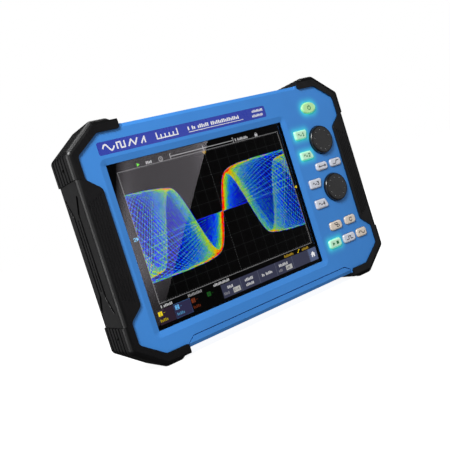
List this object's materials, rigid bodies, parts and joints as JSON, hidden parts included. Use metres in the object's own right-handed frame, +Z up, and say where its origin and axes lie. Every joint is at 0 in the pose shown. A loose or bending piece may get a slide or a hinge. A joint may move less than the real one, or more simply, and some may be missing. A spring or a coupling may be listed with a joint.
{
  "type": "tablet oscilloscope",
  "caption": "Flat tablet oscilloscope with a touch screen, rubber corner bumpers and side grips, a key and knob panel, input sockets on a top shelf, a port cover and a rear stand.",
  "frame": {"origin": "on the surface it stands on, under the middle of the case in width and depth", "axes": "+X to the right of a person facing the screen, +Y away from that person, +Z up"},
  "size_m": [0.268, 0.048, 0.187],
  "materials": {
    "blue_shell": "satin moulded ABS",
    "indigo_strip": "printed strip under clear film",
    "black_rubber": "matt moulded rubber",
    "touch_glass": "gloss cover glass",
    "display": "display module",
    "foam": "closed-cell foam",
    "steel": "pressed steel",
    "ribbon": "polyimide flat cable",
    "white_key": "satin moulded key",
    "beige_key": "satin moulded key",
    "lit_key": "translucent key with a lamp behind it",
    "knob_black": "satin black knob",
    "circuit_board": "solder mask over glass fibre board",
    "chip": "epoxy package",
    "battery_wrap": "shrink wrap",
    "nickel": "nickel plated brass",
    "white_insulator": "PTFE",
    "gold_contact": "gold plated contact",
    "channel_colours": "coloured socket rings",
    "stand_grey": "glass filled nylon"
  },
  "bodies": {
    "root": {"front_bezel": "blue_shell", "rear_shell": "blue_shell", "name_strip": "indigo_strip", "touch_glass": "touch_glass", "window_gasket": "foam", "lcd_panel": "display", "lcd_bracket": "steel", "display_ribbon": "ribbon", "encoder_bodies": "steel", "key_board": "circuit_board", "key_switches": "steel", "main_board": "circuit_board", "shield_cans": "steel", "processor_chips": "chip", "speaker": "chip", "battery_pack": "battery_wrap", "battery_door": "blue_shell", "door_screws": "steel", "case_screws": "steel", "bumper_top_right": "black_rubber", "bumper_bottom_right": "black_rubber", "bumper_top_left": "black_rubber", "bumper_bottom_left": "black_rubber", "grip_right": "black_rubber", "grip_left": "black_rubber", "bnc_shells": "nickel", "bnc_insulators": "white_insulator", "bnc_contacts": "gold_contact", "channel_rings": "channel_colours", "probe_tabs": "nickel", "dc_jack": "chip", "lan_jack": "steel", "hdmi_jack": "steel", "usb_host": "steel", "usb_device": "steel", "cover_pin": "steel", "stand_pins": "steel"},
    "power_key": {"power_key": "lit_key"},
    "channel_1_key": {"channel_1_key": "lit_key"},
    "channel_2_key": {"channel_2_key": "lit_key"},
    "horizontal_key": {"horizontal_key": "white_key"},
    "trigger_key": {"trigger_key": "white_key"},
    "channel_3_key": {"channel_3_key": "white_key"},
    "channel_4_key": {"channel_4_key": "white_key"},
    "copy_key": {"copy_key": "beige_key"},
    "default_key": {"default_key": "beige_key"},
    "run_stop_key": {"run_stop_key": "lit_key"},
    "single_key": {"single_key": "white_key"},
    "autoset_key": {"autoset_key": "beige_key"},
    "upper_push": {"upper_plunger": "steel"},
    "upper_dial": {"upper_knob": "knob_black", "upper_shaft": "steel"},
    "lower_push": {"lower_plunger": "steel"},
    "lower_dial": {"lower_knob": "knob_black", "lower_shaft": "steel"},
    "stand": {"stand": "stand_grey", "stand_pads": "black_rubber"},
    "port_cover": {"port_cover": "blue_shell"}
  },
  "joints": [
    {"name": "power_key_press", "type": "slide", "parent": "root", "child": "power_key", "axis": [0, 1, 0], "range_m": [0, 0.0008], "stiffness_N_per_m": 1000},
    {"name": "channel_1_key_press", "type": "slide", "parent": "root", "child": "channel_1_key", "axis": [0, 1, 0], "range_m": [0, 0.0008], "stiffness_N_per_m": 1000},
    {"name": "channel_2_key_press", "type": "slide", "parent": "root", "child": "channel_2_key", "axis": [0, 1, 0], "range_m": [0, 0.0008], "stiffness_N_per_m": 1000},
    {"name": "horizontal_key_press", "type": "slide", "parent": "root", "child": "horizontal_key", "axis": [0, 1, 0], "range_m": [0, 0.0008], "stiffness_N_per_m": 1000},
    {"name": "trigger_key_press", "type": "slide", "parent": "root", "child": "trigger_key", "axis": [0, 1, 0], "range_m": [0, 0.0008], "stiffness_N_per_m": 1000},
    {"name": "channel_3_key_press", "type": "slide", "parent": "root", "child": "channel_3_key", "axis": [0, 1, 0], "range_m": [0, 0.0008], "stiffness_N_per_m": 1000},
    {"name": "channel_4_key_press", "type": "slide", "parent": "root", "child": "channel_4_key", "axis": [0, 1, 0], "range_m": [0, 0.0008], "stiffness_N_per_m": 1000},
    {"name": "copy_key_press", "type": "slide", "parent": "root", "child": "copy_key", "axis": [0, 1, 0], "range_m": [0, 0.0008], "stiffness_N_per_m": 1000},
    {"name": "default_key_press", "type": "slide", "parent": "root", "child": "default_key", "axis": [0, 1, 0], "range_m": [0, 0.0008], "stiffness_N_per_m": 1000},
    {"name": "run_stop_key_press", "type": "slide", "parent": "root", "child": "run_stop_key", "axis": [0, 1, 0], "range_m": [0, 0.0008], "stiffness_N_per_m": 1000},
    {"name": "single_key_press", "type": "slide", "parent": "root", "child": "single_key", "axis": [0, 1, 0], "range_m": [0, 0.0008], "stiffness_N_per_m": 1000},
    {"name": "autoset_key_press", "type": "slide", "parent": "root", "child": "autoset_key", "axis": [0, 1, 0], "range_m": [0, 0.0008], "stiffness_N_per_m": 1000},
    {"name": "upper_knob_push", "type": "slide", "parent": "root", "child": "upper_push", "axis": [0, 1, 0], "range_m": [0, 0.0007], "stiffness_N_per_m": 1500},
    {"name": "upper_knob_turn", "type": "hinge", "parent": "upper_push", "child": "upper_dial", "pos_m": [0.0976, -0.02, 0.1288], "axis": [0, 1, 0], "continuous": true},
    {"name": "lower_knob_push", "type": "slide", "parent": "root", "child": "lower_push", "axis": [0, 1, 0], "range_m": [0, 0.0007], "stiffness_N_per_m": 1500},
    {"name": "lower_knob_turn", "type": "hinge", "parent": "lower_push", "child": "lower_dial", "pos_m": [0.0978, -0.02, 0.0844], "axis": [0, 1, 0], "continuous": true},
    {"name": "stand_hinge", "type": "hinge", "parent": "root", "child": "stand", "pos_m": [0, 0.0201, 0.1005], "axis": [1, 0, 0], "range_deg": [0, 60]},
    {"name": "port_cover_hinge", "type": "hinge", "parent": "root", "child": "port_cover", "pos_m": [0, 0.004, 0.0082], "axis": [1, 0, 0], "range_deg": [0, 95]}
  ]
}
